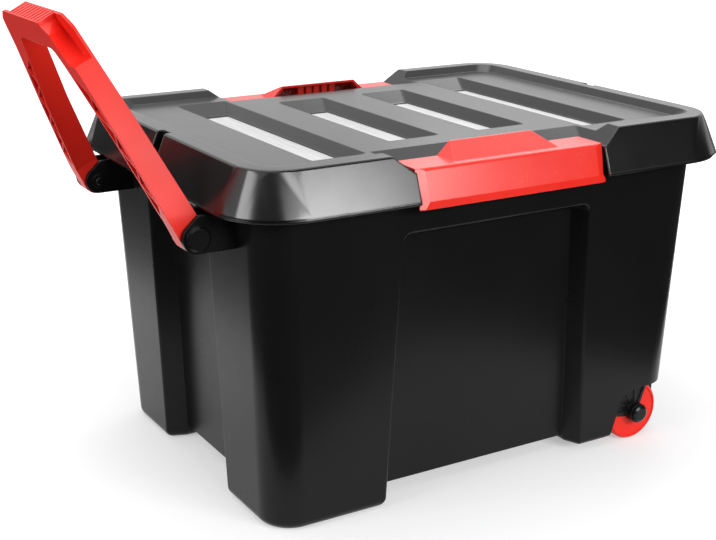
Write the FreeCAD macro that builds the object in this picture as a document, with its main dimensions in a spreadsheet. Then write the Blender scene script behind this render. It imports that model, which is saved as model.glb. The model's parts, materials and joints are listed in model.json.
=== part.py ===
import FreeCAD, Part
import math
import os
import re
import Sketcher

# A wheeled plastic storage box with a lift-off lid, two rim latches and a folding tow handle.
# X runs along the box with the handle at the negative end, Y across it, Z up from the floor.

SIZES = [
    ("base_length", 594, "tub length at the floor"),
    ("base_width", 440, "tub width at the floor"),
    ("wall_slope", 0.039, "outward lean of the tub walls"),
    ("tub_height", 400, "floor to the top of the tub rim"),
    ("corner_radius", 42, "upright corners of the tub"),
    ("base_fillet", 13, "rounding around the feet at the handle end"),
    ("wheel_end_fillet", 8, "rounding around the feet at the wheel end"),
    ("wall", 3, "wall thickness of the mouldings"),
    ("floor_lift", 19.5, "underside of the tub above the ground"),
    ("wheel_foot_lift", 10, "feet at the wheel end above the ground"),
    ("panel_low_half", 148, "half width of the side recess at the floor"),
    ("panel_high_half", 134, "half width of the side recess at its top"),
    ("panel_side", 10, "slant of the recess side walls"),
    ("panel_depth", 25, "depth of the side recess"),
    ("panel_drop", 59, "top of all four recesses below the tub rim"),
    ("panel_round", 10, "rounded top corners of a recess"),
    ("panel_edge", 4, "rounding where a recess meets the outer faces"),
    ("end_low_half", 94, "half width of the end recess at the floor"),
    ("end_high_half", 88, "half width of the end recess at its top"),
    ("end_depth", 26, "depth of the end recess"),
    ("rim_out", 12, "rim flange beyond the tub wall"),
    ("rim_thick", 3, "thickness of the rim flange"),
    ("wheel_back", 57.5, "wheel axis from the end of the tub at the floor"),
    ("wheel_radius", 40, "wheel radius, which is also the height of its axis"),
    ("wheel_in", 27, "inner face of a wheel from the side of the tub at the floor"),
    ("wheel_width", 24, "width of a wheel"),
    ("wheel_tread", 9, "thickness of the wheel rim"),
    ("wheel_web", 6, "thickness of the wheel disc"),
    ("wheel_face", 1.2, "depth of the wheel disc behind the rim of its outer face"),
    ("wheel_face_rim", 4.5, "width of the rim around the outer face of a wheel"),
    ("wheel_chamfer", 2.5, "bevelled edges of the wheel rim"),
    ("wheel_hub", 12, "radius of the wheel hub"),
    ("wheel_room", 5, "room around the wheel in its well"),
    ("axle_radius", 4, "radius of the stub axles"),
    ("run_gap", 0.06, "running clearance of a shaft in its hole"),
    ("arch_before", 43.5, "foot of the wheel arch before the wheel axis"),
    ("arch_lean", 0.3, "lean of the arch side"),
    ("arch_over", 34, "top of the wheel arch above the wheel axis"),
    ("arch_round", 30, "rounded corner of the arch"),
    ("fan_thick", 2.2, "thickness of the bracket plate"),
    ("fan_gap", 0.6, "gap between wheel and bracket plate"),
    ("fan_drop", 7, "lower tip of the bracket plate below the wheel axis"),
    ("fan_tip", 4, "lower tip of the bracket plate beyond the wheel axis"),
    ("fan_side", 22, "upper corner of the bracket plate beyond the wheel axis"),
    ("fan_root", 8, "bracket plate hidden above the arch"),
    ("fan_rise", 1, "lower corner of the bracket plate above the wheel axis"),
    ("fan_reach", 36, "length of the ribs of the bracket from the wheel axis"),
    ("fan_rib", 2.4, "width of a rib of the bracket"),
    ("fan_rib_out", 1.4, "height of a rib of the bracket"),
    ("boss_radius", 13, "radius of the bracket hub"),
    ("boss_out", 9.5, "bracket hub beyond its plate"),
    ("inner_boss_wall", 5, "wall around the axle inside the tub"),
    ("inner_boss_long", 8, "length of the axle boss inside the tub"),
    ("axle_bed", 5, "length of the axle in its inner boss"),
    ("axle_short", 0.3, "end of the axle inside its bracket hub"),
    ("cap_radius", 11.2, "radius of a wheel cap"),
    ("cap_thick", 5, "thickness of a wheel cap"),
    ("pivot_out", 46.194, "handle axis beyond the end of the tub"),
    ("pivot_drop", 46, "handle axis below the tub rim"),
    ("arm_in", 79.6, "inner face of a handle arm from the side of the tub at the floor"),
    ("arm_thick", 23.2, "thickness of a handle arm"),
    ("arm_gap", 0.4, "gap between arm and lug"),
    ("lug_thick", 6, "thickness of a lug"),
    ("outer_lug_radius", 17.5, "rounded end of the outer lugs"),
    ("inner_lug_radius", 16, "rounded end of the inner lugs"),
    ("lug_drop", 21, "top of the lugs below the tub rim"),
    ("pin_radius", 5, "radius of a handle pin"),
    ("pin_head_radius", 14.5, "radius of a handle pin head"),
    ("pin_head_thick", 4.5, "thickness of a handle pin head"),
    ("clip_radius", 9, "radius of a retaining washer"),
    ("clip_thick", 3, "thickness of a retaining washer"),
    ("pin_tail", 2, "end of a pin beyond its washer"),
    ("lid_over", 12.4, "lid rim at its top beyond the tub rim"),
    ("lid_rise", 37, "top of the lid rim above the tub rim"),
    ("skirt_drop", 17, "lower edge of the lid skirt below the tub rim"),
    ("skirt_band", 4, "upright band along the lower edge of the skirt"),
    ("flare_length", 21, "skirt flare at each end"),
    ("flare_width", 18, "skirt flare at each side"),
    ("lid_corner", 60, "upright corners of the lid at its top"),
    ("skirt_corner", 80, "upright corners of the lid at the lower edge of the skirt"),
    ("lid_edge", 4, "rounding of the outer top edge of the lid"),
    ("bead_out", 0.8, "bead along the lower edge of the skirt"),
    ("bead_height", 3, "height of the bead"),
    ("rim_width", 21, "width of the raised lid rim"),
    ("slat_drop", 9, "top of the slats below the lid rim"),
    ("slat_pitch", 127, "spacing of the grooves"),
    ("groove_floor", 47, "width of a groove at its floor"),
    ("groove_depth", 12, "depth of a groove"),
    ("groove_corner", 7, "rounded corners of a groove"),
    ("outer_window_in", 98, "ends of the outer windows from the side of the lid"),
    ("inner_window_in", 142, "ends of the inner windows from the side of the lid"),
    ("groove_margin", 6, "groove floor beyond the window"),
    ("groove_run", 31, "slope at the ends of a groove"),
    ("window_width", 43, "width of a window"),
    ("window_thick", 2.4, "thickness of a window"),
    ("window_flange", 3, "hidden flange around a window"),
    ("flange_thick", 1.6, "thickness of the window flange"),
    ("fit_gap", 0.2, "gap around a seated window"),
    ("dip_half", 135, "half length of a rim dip at its floor"),
    ("dip_drop", 20, "floor of a rim dip below the lid rim"),
    ("dip_lean", 1.25, "slope of the ends of a dip"),
    ("dip_in", 29.6, "inner edge of the dip floor from the tub side at its rim"),
    ("dip_rise", 2.36, "slope of the inner side of a dip"),
    ("ridge_in", 21.6, "outer face of the ridge under a latch from the tub side at its rim"),
    ("shelf_out", 2.9, "outer edge of the hidden shelf under a latch beyond the tub side at its rim"),
    ("shelf_rise", 4, "top of the hidden shelf under a latch above the tub rim"),
    ("latch_gap", 0.7, "gap between the ends of a latch and the lid"),
    ("seat_inner", 0.5, "inset of the lid seat from the tub wall"),
    ("seat_thick", 3, "thickness of the lid seat"),
    ("end_notch_half", 10.5, "half width of the notch in each end of the lid"),
    ("end_notch_depth", 8, "depth of the end notch"),
    ("end_notch_drop", 8, "lower end of the notch slot below the tub rim"),
    ("latch_half", 132, "half length of a latch"),
    ("latch_thick", 3, "thickness of a latch"),
    ("latch_seat", 0.3, "gap under the latch flange"),
    ("latch_out", 16.9, "upper edge of the latch plate beyond the tub side at its rim"),
    ("latch_flare", 12.5, "lower edge of the latch plate beyond its upper edge"),
    ("latch_drop", 16.5, "top of the latch plate below the lid rim"),
    ("latch_hang", 24.5, "lower edge of the latch plate below the tub rim"),
    ("latch_tuck", 2, "lower edge of the latch drawn in below its band"),
    ("latch_round", 5, "rounded upper edge of the latch plate"),
    ("latch_end", 12, "facet at each end of the latch plate"),
    ("latch_end_deep", 4, "depth of the facet at each end of the latch plate"),
    ("latch_band", 9, "sloped band along the lower edge of the latch"),
    ("tab_drop", 1, "top of the finger tab below the lid rim"),
    ("tab_lip", 3, "flat edge at the top of the finger tab"),
    ("tab_top_half", 57.5, "half length of the finger tab at its top"),
    ("tab_low_half", 75, "half length of the finger tab at its foot"),
    ("tab_run", 34, "slope of the finger tab"),
    ("rib_width", 9, "width of a rib under the finger tab"),
    ("rib_pitch", 12.6, "spacing of the ribs under the finger tab"),
    ("hinge_out_by", 16.9, "latch hinge beyond the tub side at its rim"),
    ("hinge_drop", 19.5, "latch hinge below the tub rim"),
    ("rod_radius", 2, "radius of a latch rod"),
    ("rod_half", 118, "half length of a latch rod"),
    ("barrel_radius", 4.5, "radius of a hinge barrel"),
    ("barrel_length", 28, "length of a hinge barrel"),
    ("barrel_place", 95, "middle of a hinge barrel from the middle of the box"),
    ("ear_thick", 5, "thickness of a hinge ear"),
    ("ear_gap", 0.5, "gap between barrel and ear"),
    ("ear_radius", 5, "rounded end of a hinge ear"),
    ("barrel_web", 6, "thickness of the web between barrel and latch"),
    ("barrel_web_long", 9, "length of the web between barrel and latch"),
    ("handle_lean", 26, "outward lean of the handle, in degrees"),
    ("handle_length", 257, "pivot to the top of the grip"),
    ("grip_half", 57, "half width of the grip block"),
    ("grip_tall", 31, "height of the grip"),
    ("grip_opening", 57, "half width of the opening under the grip"),
    ("back_half", 72, "half width of the handle at its top"),
    ("shoulder_half", 91, "half width of the handle at its shoulders"),
    ("shoulder_drop", 12, "shoulders of the handle below its top"),
    ("knee_drop", 135, "bend of the arms below the top of the handle"),
    ("knee_outer_in", 27.6, "outer edge of an arm at the bend, inward from its foot"),
    ("knee_inner_in", 31.4, "inner edge of an arm at the bend, inward from its foot"),
    ("arm_straight", 25, "straight foot of an arm above the pivot"),
    ("arm_foot_round", 14, "rounded foot of an arm"),
    ("grip_round", 8, "rounded upper corners of the handle"),
    ("shoulder_round", 16, "rounded shoulders of the handle"),
    ("opening_round", 14, "rounded corners of the opening under the grip"),
    ("arm_front", 17, "handle depth in front of the axis"),
    ("arm_back", 13, "handle depth behind the axis"),
    ("grip_front", 12, "grip depth in front of the axis"),
    ("front_slant_low", 40, "start of the slant of the arms above the pivot"),
    ("front_slant_end", 20, "end of the slant of the arms below the grip"),
    ("scoop_tall", 47, "lower end of the shoulder scoops below the top of the handle"),
    ("scoop_reach", 80, "shoulder scoops cut beyond the grip"),
    ("scoop_mouth_high", 22, "upper corner of the scoop mouth beyond the grip"),
    ("scoop_mouth_middle", 26, "bend of the scoop mouth beyond the grip"),
    ("scoop_mouth_low", 30, "lower corner of the scoop mouth beyond the grip"),
    ("scoop_mouth_drop", 9, "upper corner of the scoop mouth below the top"),
    ("scoop_floor_in", 5, "upper corner of the scoop floor inside the grip"),
    ("scoop_floor_drop", 7, "upper corner of the scoop floor below the top"),
    ("scoop_floor_middle", 6, "bend of the scoop floor beyond the grip"),
    ("scoop_floor_low", 26, "lower corner of the scoop floor beyond the grip"),
    ("scoop_floor_rise", 12, "upper bend of the scoop floor above the grip edge"),
    ("scoop_bend_rise", 4, "lower bend of a scoop above the grip edge"),
    ("cut_over", 5, "reach of a cut beyond the face that it opens"),
    ("back_plate", 3.5, "plate left behind the scoops and cells"),
    ("cell_wall", 3, "side walls of an arm"),
    ("cell_rib", 2.4, "thickness of the zigzag ribs"),
    ("cell_pitch", 21, "spacing of the zigzag along an arm"),
    ("cell_low", 30, "start of the zigzag above the pivot"),
    ("groove_pitch", 10.4, "spacing of the grip grooves"),
    ("groove_wide", 4, "width of a grip groove"),
    ("groove_deep", 1.2, "depth of a grip groove"),
]

# Heights and places that follow from the sizes
FOLLOWS = [
    ("tub_side", "base_width / 2 + wall_slope * tub_height", "tub side at its rim"),
    ("tub_end", "base_length / 2 + wall_slope * tub_height", "tub end at its rim"),
    ("panel_top", "tub_height - panel_drop", "top of all four recesses"),
    ("wheel_centre", "base_length / 2 - wheel_back", "wheel axis from the middle"),
    ("wheel_inner", "base_width / 2 - wheel_in", "inner face of a wheel from the middle"),
    ("arch_start", "wheel_centre - arch_before", "foot of the wheel arch"),
    ("arch_top", "wheel_radius + arch_over", "top of the wheel arch"),
    ("pivot_height", "tub_height - pivot_drop", "handle axis above the floor"),
    ("pivot_reach", "base_length / 2 + wall_slope * pivot_height + pivot_out", "handle axis from the middle"),
    ("arm_inner", "base_width / 2 - arm_in", "inner face of a handle arm at the pivot"),
    ("lug_top", "tub_height - lug_drop", "top of the lugs"),
    ("lid_length", "2 * (tub_end + lid_over)", "lid rim length at its top"),
    ("lid_width", "2 * (tub_side + lid_over)", "lid rim width at its top"),
    ("lid_top", "tub_height + lid_rise", "top of the lid rim"),
    ("skirt_low", "tub_height - skirt_drop", "lower edge of the lid skirt"),
    ("slat_level", "lid_top - slat_drop", "top of the slats"),
    ("outer_window_half", "lid_width / 2 - outer_window_in", "half length of the outer windows"),
    ("inner_window_half", "lid_width / 2 - inner_window_in", "half length of the inner windows"),
    ("dip_level", "lid_top - dip_drop", "floor of a rim dip"),
    ("dip_inner", "tub_side - dip_in", "inner edge of the dip floor"),
    ("ridge_outer", "tub_side - ridge_in", "outer face of the ridge under a latch"),
    ("shelf_outer", "tub_side + shelf_out", "outer edge of the hidden shelf under a latch"),
    ("shelf_level", "tub_height + shelf_rise", "top of the hidden shelf under a latch"),
    ("notch_half", "latch_half + latch_gap", "half length of the skirt cut-out for a latch"),
    ("end_notch_low", "tub_height - end_notch_drop", "lower end of the notch slot"),
    ("latch_top_out", "tub_side + latch_out", "upper edge of the latch plate from the middle"),
    ("latch_low_out", "latch_top_out + latch_flare", "lower edge of the latch plate from the middle"),
    ("latch_top", "lid_top - latch_drop", "top of the latch plate"),
    ("latch_low", "tub_height - latch_hang", "lower edge of the latch plate"),
    ("tab_top", "lid_top - tab_drop", "top of the finger tab"),
    ("hinge_out", "tub_side + hinge_out_by", "latch hinge from the middle"),
    ("hinge_height", "tub_height - hinge_drop", "latch hinge above the floor"),
    ("grip_low", "handle_length - grip_tall", "lower edge of the grip above the pivot"),
    ("shoulder_height", "handle_length - shoulder_drop", "shoulders of the handle above the pivot"),
    ("knee_height", "handle_length - knee_drop", "bend of the arms above the pivot"),
    ("knee_outer", "arm_inner + arm_thick - knee_outer_in", "outer edge of an arm at the bend"),
    ("knee_inner", "arm_inner - knee_inner_in", "inner edge of an arm at the bend"),
    ("scoop_low", "handle_length - scoop_tall", "lower end of the shoulder scoops above the pivot"),
]

doc = FreeCAD.newDocument("storage_box")
sheet = doc.addObject("Spreadsheet::Sheet", "dims")
for row, (alias, value, note) in enumerate(SIZES + FOLLOWS, start=1):
    sheet.set("A%d" % row, note)
    sheet.setAlias("B%d" % row, alias)
    sheet.set("B%d" % row, "=" + value if isinstance(value, str) else str(value))
doc.recompute()
ALIASES = {alias for alias, value, note in SIZES + FOLLOWS}
SKETCH_START = 100.0


def size(alias):
    return float(sheet.get(alias))


def linked(text):
    """Turn the size names in an expression into references to the sheet."""
    def refer(match):
        word = match.group(0)
        return "dims." + word if word in ALIASES else word
    return re.sub(r"[a-z]+(?:_[a-z]+)*", refer, str(text))


def bind(obj, **links):
    for prop, text in links.items():
        obj.setExpression(prop, linked(text))


def place(obj, x="0", y="0", z="0", yaw="0 deg", pitch="0 deg", roll="0 deg"):
    where = "vector(%s; %s; %s)" % (x, y, z)
    turn = "rotation(%s; %s; %s)" % (yaw, pitch, roll)
    obj.setExpression("Placement", linked("placement(%s; %s)" % (where, turn)))


def span(pair):
    return "(%s) - (%s)" % (pair[1], pair[0])


def minus(text):
    return "-(%s)" % text


def box(name, x, y, z):
    obj = doc.addObject("Part::Box", name)
    bind(obj, Length=span(x), Width=span(y), Height=span(z))
    place(obj, x[0], y[0], z[0])
    return obj


def cylinder(name, axis, radius, centre, along):
    obj = doc.addObject("Part::Cylinder", name)
    bind(obj, Radius=radius, Height=span(along))
    if axis == "X":
        place(obj, along[0], centre[0], centre[1], pitch="90 deg")
    else:
        place(obj, centre[0], along[0], centre[1], roll="-90 deg")
    return obj


def wedge(name, z, low, high):
    """A block between two level rectangles, each given as x and y limits."""
    obj = doc.addObject("Part::Wedge", name)
    bind(obj, Ymin=z[0], Ymax=z[1])
    bind(obj, Xmin=low[0], Xmax=low[1], Zmin=minus(low[3]), Zmax=minus(low[2]))
    bind(obj, X2min=high[0], X2max=high[1], Z2min=minus(high[3]), Z2max=minus(high[2]))
    place(obj, roll="90 deg")
    return obj


def tapered(name, z, low_half, high_half, centre="0"):
    limits = []
    for half in (low_half, high_half):
        limits.append(["(%s) - (%s)" % (centre, half[0]), "(%s) + (%s)" % (centre, half[0]),
                       minus(half[1]), half[1]])
    return wedge(name, z, limits[0], limits[1])


def drafted(name, z, half_x, half_y):
    """A block with the lean of the tub walls; the half sizes are those at the floor."""
    low = ["%s + wall_slope * (%s)" % (half, z[0]) for half in (half_x, half_y)]
    high = ["%s + wall_slope * (%s)" % (half, z[1]) for half in (half_x, half_y)]
    return tapered(name, z, low, high)


def outline(name, points, x="0", y="0", z="0", yaw="0 deg", pitch="0 deg", roll="0 deg", body=None):
    """A closed sketch whose corners are bound to the sheet."""
    if body is None:
        sketch = doc.addObject("Sketcher::SketchObject", name)
        place(sketch, x, y, z, yaw, pitch, roll)
    else:
        sketch = body.newObject("Sketcher::SketchObject", name)
        plane = [item for item in body.Origin.OriginFeatures if item.Role == "XY_Plane"][0]
        sketch.AttachmentSupport = (plane, "")
        sketch.MapMode = "FlatFace"
    count = len(points)
    turn = 2 * math.pi / count
    ring = [(SKETCH_START * math.cos(turn * i), SKETCH_START * math.sin(turn * i)) for i in range(count)]
    for i in range(count):
        start = FreeCAD.Vector(*ring[i], 0)
        end = FreeCAD.Vector(*ring[(i + 1) % count], 0)
        sketch.addGeometry(Part.LineSegment(start, end), False)
    for i in range(count):
        sketch.addConstraint(Sketcher.Constraint("Coincident", i, 2, (i + 1) % count, 1))
    for i, (across, up) in enumerate(points):
        number = sketch.addConstraint(Sketcher.Constraint("DistanceX", -1, 1, i, 1, ring[i][0]))
        sketch.setExpression("Constraints[%d]" % number, linked(across))
        number = sketch.addConstraint(Sketcher.Constraint("DistanceY", -1, 1, i, 1, ring[i][1]))
        sketch.setExpression("Constraints[%d]" % number, linked(up))
    return sketch


def prism(name, plane, points, along):
    """An outline drawn in the XZ, YZ or XY plane and pushed along the third axis."""
    if plane == "XZ":
        sketch = outline(name + "_outline", points, y=along[1], roll="90 deg")
    elif plane == "YZ":
        sketch = outline(name + "_outline", points, x=along[0], yaw="90 deg", roll="90 deg")
    else:
        sketch = outline(name + "_outline", points, z=along[0])
    obj = doc.addObject("Part::Extrusion", name)
    obj.Base = sketch
    obj.DirMode = "Normal"
    obj.Solid = True
    bind(obj, LengthFwd=span(along))
    return obj


def loft(name, sections):
    obj = doc.addObject("Part::Loft", name)
    obj.Sections = sections
    obj.Solid = True
    obj.Ruled = True
    return obj


def turned(name, points, x="0", y="0", z="0", yaw="0 deg"):
    """A body turned about its own Y axis; points are radius and distance along the axis."""
    body = doc.addObject("PartDesign::Body", name)
    sketch = outline(name + "_section", points, body=body)
    doc.recompute()
    feature = body.newObject("PartDesign::Revolution", name + "_turned")
    feature.Profile = sketch
    feature.ReferenceAxis = (sketch, ["V_Axis"])
    feature.Angle = 360
    place(body, x, y, z, yaw=yaw)
    return body


def cut(name, base, *tools):
    tool = tools[0]
    if len(tools) > 1:
        tool = fuse(name + "_tools", *tools)
    obj = doc.addObject("Part::Cut", name)
    obj.Base = base
    obj.Tool = tool
    return obj


def fuse(name, *shapes):
    obj = doc.addObject("Part::MultiFuse", name)
    obj.Shapes = list(shapes)
    return obj


def common(name, first, second):
    obj = doc.addObject("Part::Common", name)
    obj.Base = first
    obj.Tool = second
    return obj


def mirrored(name, source, normal):
    obj = doc.addObject("Part::Mirroring", name)
    obj.Source = source
    obj.Base = FreeCAD.Vector(0, 0, 0)
    obj.Normal = FreeCAD.Vector(*normal)
    return obj


def both(source):
    """A shape and its copy on the other side of the box."""
    return [source, mirrored(source.Name + "_back", source, (0, 1, 0))]


def rounded(name, base, *groups):
    """Fillet the edges that a test picks; each group is a test and its radius at the low and high end."""
    doc.recompute()
    obj = doc.addObject("Part::Fillet", name)
    obj.Base = base
    edges = []
    for test, *radii in groups:
        for number, edge in enumerate(base.Shape.Edges, start=1):
            if test(edge):
                falls = edge.valueAt(edge.FirstParameter).z > edge.valueAt(edge.LastParameter).z
                start, end = (radii[-1], radii[0]) if falls else (radii[0], radii[-1])
                edges.append((number, start, end))
    obj.Edges = edges
    return obj


def ends(edge):
    return [vertex.Point for vertex in edge.Vertexes]


def upright(edge):
    points = ends(edge)
    return len(points) == 2 and abs(points[1].z - points[0].z) > 0.5 * edge.Length


def slanted(edge):
    points = ends(edge)
    return abs(points[1].z - points[0].z) > 1


def level(height):
    def test(edge):
        return all(abs(point.z - height) < 0.01 for point in ends(edge))
    return test


PIECES = []


def piece(name, obj):
    obj.Label = name
    PIECES.append(obj)


# Tub shell
HALF_LONG = "base_length / 2"
HALF_WIDE = "base_width / 2"
outer_block = drafted("tub_outer_block", ("0", "tub_height"), HALF_LONG, HALF_WIDE)
outer = rounded("tub_outer", outer_block, (upright, size("corner_radius")))
inner_block = drafted("tub_inner_block", ("wall", "tub_height + 1"),
                      HALF_LONG + " - wall", HALF_WIDE + " - wall")
inner = rounded("tub_inner", inner_block, (upright, size("corner_radius") - size("wall")))


def recess(name, at_end, low_half, high_half, depth, grow):
    """The space of one recess; grow adds the wall for the cavity behind it."""
    below = "panel_side * 2"
    sections = []
    for mark, inward in (("face", "-0.4 * %s" % depth), ("back", "%s + %s" % (depth, grow))):
        inset = "panel_side * (%s) / %s" % (inward if mark == "face" else depth, depth)
        lean = "(%s - %s) / panel_top" % (low_half, high_half)
        low = "%s - %s + %s + %s * (%s)" % (low_half, inset, grow, lean, below)
        high = "%s - %s + %s" % (high_half, inset, grow)
        top = "panel_top + %s" % grow
        points = [(minus(low), minus(below)), (low, minus(below)), (high, top), (minus(high), top)]
        roll = "90 deg + atan(wall_slope)"
        if at_end:
            sections.append(outline(name + "_" + mark, points, x="-base_length / 2 + %s" % inward,
                                    yaw="-90 deg", roll=roll))
        else:
            sections.append(outline(name + "_" + mark, points, y="-base_width / 2 + %s" % inward, roll=roll))
    block = loft(name + "_block", sections)

    def top_corner(edge):
        points = ends(edge)
        high = all(point.z > size("panel_top") - size("panel_round") for point in points)
        deep = abs(points[1].x - points[0].x) if at_end else abs(points[1].y - points[0].y)
        return high and deep > 0.5 * edge.Length
    return rounded(name, block, (top_corner, size("panel_round")))


side_recess = recess("side_recess", False, "panel_low_half", "panel_high_half", "panel_depth", "0")
side_keep = recess("side_keep", False, "panel_low_half", "panel_high_half", "panel_depth", "wall")
end_recess = recess("end_recess", True, "end_low_half", "end_high_half", "end_depth", "0")
end_keep = recess("end_keep", True, "end_low_half", "end_high_half", "end_depth", "wall")


def cross(name, grow, top):
    """The raised underside between the four feet."""
    half_x = "panel_low_half - panel_side + %s" % grow
    half_y = "end_low_half - panel_side + %s" % grow
    far = "base_length"
    return [box(name + "_across", (minus(half_x), half_x), (minus(far), far), ("-1", top)),
            box(name + "_along", (minus(far), far), (minus(half_y), half_y), ("-1", top))]


lift_cut = box("wheel_end_lift", ("0", "base_length"), ("-base_width", "base_width"),
               ("-1", "wheel_foot_lift"))
lift_keep = box("wheel_end_keep", ("0", "base_length"), ("-base_width", "base_width"),
                ("-1", "wheel_foot_lift + wall"))

# Wheel wells
WELL_IN = "wheel_inner - wheel_room"
WHEEL_OUT = "wheel_inner + wheel_width"
FAN_IN = "wheel_inner + wheel_width + fan_gap"
FAN_OUT = "wheel_inner + wheel_width + fan_gap + fan_thick"
BOSS_OUT = "wheel_inner + wheel_width + fan_gap + fan_thick + boss_out"
HUB = ("wheel_centre", "wheel_radius")


def arch(name, grow, inside):
    top = "arch_top + %s" % grow
    foot = "arch_start - %s" % grow
    points = [("%s - cut_over * arch_lean" % foot, "-cut_over"),
              ("base_length", "-cut_over"), ("base_length", top),
              ("%s + arch_lean * (%s)" % (foot, top), top)]
    block = prism(name + "_block", "XZ", points, ("-base_width", minus(inside)))
    doc.recompute()
    corner = size("arch_start") + size("arch_lean") * size("arch_top")

    def shoulder(edge):
        points = ends(edge)
        near = all(abs(point.x - corner) < 4 * size("wall") for point in points)
        return near and all(point.z > size("arch_top") - 1 for point in points)
    return rounded(name, block, (shoulder, size("arch_round")))


arch_cut = arch("arch_cut", "0", WELL_IN)
arch_keep = arch("arch_keep", "wall", WELL_IN + " - wall")
well_cut = cylinder("well_cut", "Y", "wheel_radius + wheel_room", HUB,
                    (minus(FAN_IN + " + fan_thick / 2"), minus(WELL_IN)))
well_low = box("well_low", ("wheel_centre - wheel_radius - wheel_room", "wheel_centre"),
               (minus(FAN_IN + " + fan_thick / 2"), minus(WELL_IN)), ("-1", "wheel_radius"))
well_keep = cylinder("well_keep", "Y", "wheel_radius + wheel_room + wall", HUB,
                     ("-base_width", minus(WELL_IN + " - wall")))
well_low_keep = box("well_low_keep", ("wheel_centre - wheel_radius - wheel_room - wall", "wheel_centre"),
                    ("-base_width", minus(WELL_IN + " - wall")), ("-1", "wheel_radius"))

solid_keeps = both(side_keep) + [end_keep, mirrored("end_keep_right", end_keep, (1, 0, 0))]
solid_keeps += cross("floor_keep", "wall", "floor_lift + wall") + [lift_keep]
well_keeps = []
for keep in (arch_keep, well_keep, well_low_keep):
    well_keeps += both(keep)
cavity_block = cut("tub_cavity_block", inner, *solid_keeps)
wheel_end_floor = size("wheel_foot_lift") + size("wall")
cavity_round = rounded("tub_cavity_round", cavity_block,
                       (level(size("wall")), size("base_fillet") - size("wall")),
                       (level(wheel_end_floor), size("wheel_end_fillet") - size("wall") / 2))
cavity = cut("tub_cavity", cavity_round, *well_keeps)

cuts = both(side_recess) + [end_recess, mirrored("end_recess_right", end_recess, (1, 0, 0))]
cuts += cross("floor_cut", "0", "floor_lift") + [lift_cut]
footed = cut("tub_footed", outer, *cuts)


def pillar_edge(edge):
    """The upright edges where a recess meets the outer faces."""
    points = ends(edge)
    if not upright(edge) or edge.Length < 0.6 * size("tub_height"):
        return False
    for point in points:
        lean = size("wall_slope") * point.z
        on_side = abs(abs(point.y) - size("base_width") / 2 - lean) < 0.05
        on_end = abs(abs(point.x) - size("base_length") / 2 - lean) < 0.05
        if not (on_side or on_end):
            return False
    return True


foot_round = rounded("tub_foot_round", footed, (level(0), size("base_fillet")),
                     (level(size("wheel_foot_lift")), size("wheel_end_fillet")),
                     (pillar_edge, size("panel_edge")))
wells = []
for tool in (arch_cut, well_cut, well_low):
    wells += both(tool)
body_block = cut("tub_body", foot_round, *wells)

# Wheel brackets
fan_points = [("wheel_centre + fan_tip", "wheel_radius - fan_drop"),
              ("wheel_centre + fan_side", "arch_top + fan_root"),
              ("arch_start", "arch_top + fan_root"),
              ("arch_start", "wheel_radius + fan_rise"),
              ("wheel_centre - fan_tip", "wheel_radius - fan_drop")]
fan_plate = prism("fan_plate", "XZ", fan_points, (minus(FAN_OUT), minus(FAN_IN)))
fan = common("fan", fan_plate, outer)
boss = cylinder("boss", "Y", "boss_radius", HUB, (minus(BOSS_OUT), minus(FAN_IN)))
inner_boss = cylinder("inner_boss", "Y", "axle_radius + inner_boss_wall", HUB,
                      (minus(WELL_IN), minus(WELL_IN + " - wall - inner_boss_long")))
axle_hole = cylinder("axle_hole", "Y", "axle_radius + run_gap", HUB,
                     (minus(BOSS_OUT + " + 1"), minus(WELL_IN + " - wall - axle_bed - 1")))
fan_ribs = []
for number in range(5):
    lean = math.radians(66 + 27 * number)
    sine = math.sin(lean)
    cosine = math.cos(lean)
    points = []
    for reach, side in (("0", 1), ("0", -1), ("fan_reach", -1), ("fan_reach", 1)):
        points.append(("wheel_centre + %s * %.5f - %d * fan_rib / 2 * %.5f" % (reach, cosine, side, sine),
                       "wheel_radius + %s * %.5f + %d * fan_rib / 2 * %.5f" % (reach, sine, side, cosine)))
    along = (minus(FAN_OUT + " + fan_rib_out"), minus(FAN_IN))
    fan_ribs.append(prism("fan_rib_%d" % number, "XZ", points, along))

# Handle lugs
LUG_ROOT = "-(base_length / 2 + wall_slope * (pivot_height - outer_lug_radius) - wall / 2)"


def lug(name, radius, near):
    """One lug as a gusset with a rounded end about the handle axis."""
    along = (minus("%s + lug_thick" % near), minus(near))
    nose = cylinder(name + "_nose", "Y", radius, ("-pivot_reach", "pivot_height"), along)
    slope = math.radians(42)
    touch = ("-pivot_reach - %s * %.5f" % (radius, math.sin(slope)),
             "pivot_height + %s * %.5f" % (radius, math.cos(slope)))
    shoulder = "%s + (lug_top - (%s)) * %.5f" % (touch[0], touch[1], 1 / math.tan(slope))
    points = [("-pivot_reach", "pivot_height - %s" % radius), (LUG_ROOT, "pivot_height - %s" % radius),
              (LUG_ROOT, "lug_top"), (shoulder, "lug_top"), touch]
    gusset = prism(name + "_gusset", "XZ", points, along)
    return [nose, gusset]


INNER_LUG = "arm_inner - arm_gap - lug_thick"
OUTER_LUG = "arm_inner + arm_thick + arm_gap"
lugs = lug("inner_lug", "inner_lug_radius", INNER_LUG) + lug("outer_lug", "outer_lug_radius", OUTER_LUG)
pin_hole = cylinder("pin_hole", "Y", "pin_radius + run_gap", ("-pivot_reach", "pivot_height"),
                    (minus(OUTER_LUG + " + lug_thick + 1"), minus(INNER_LUG + " - 1")))

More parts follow.
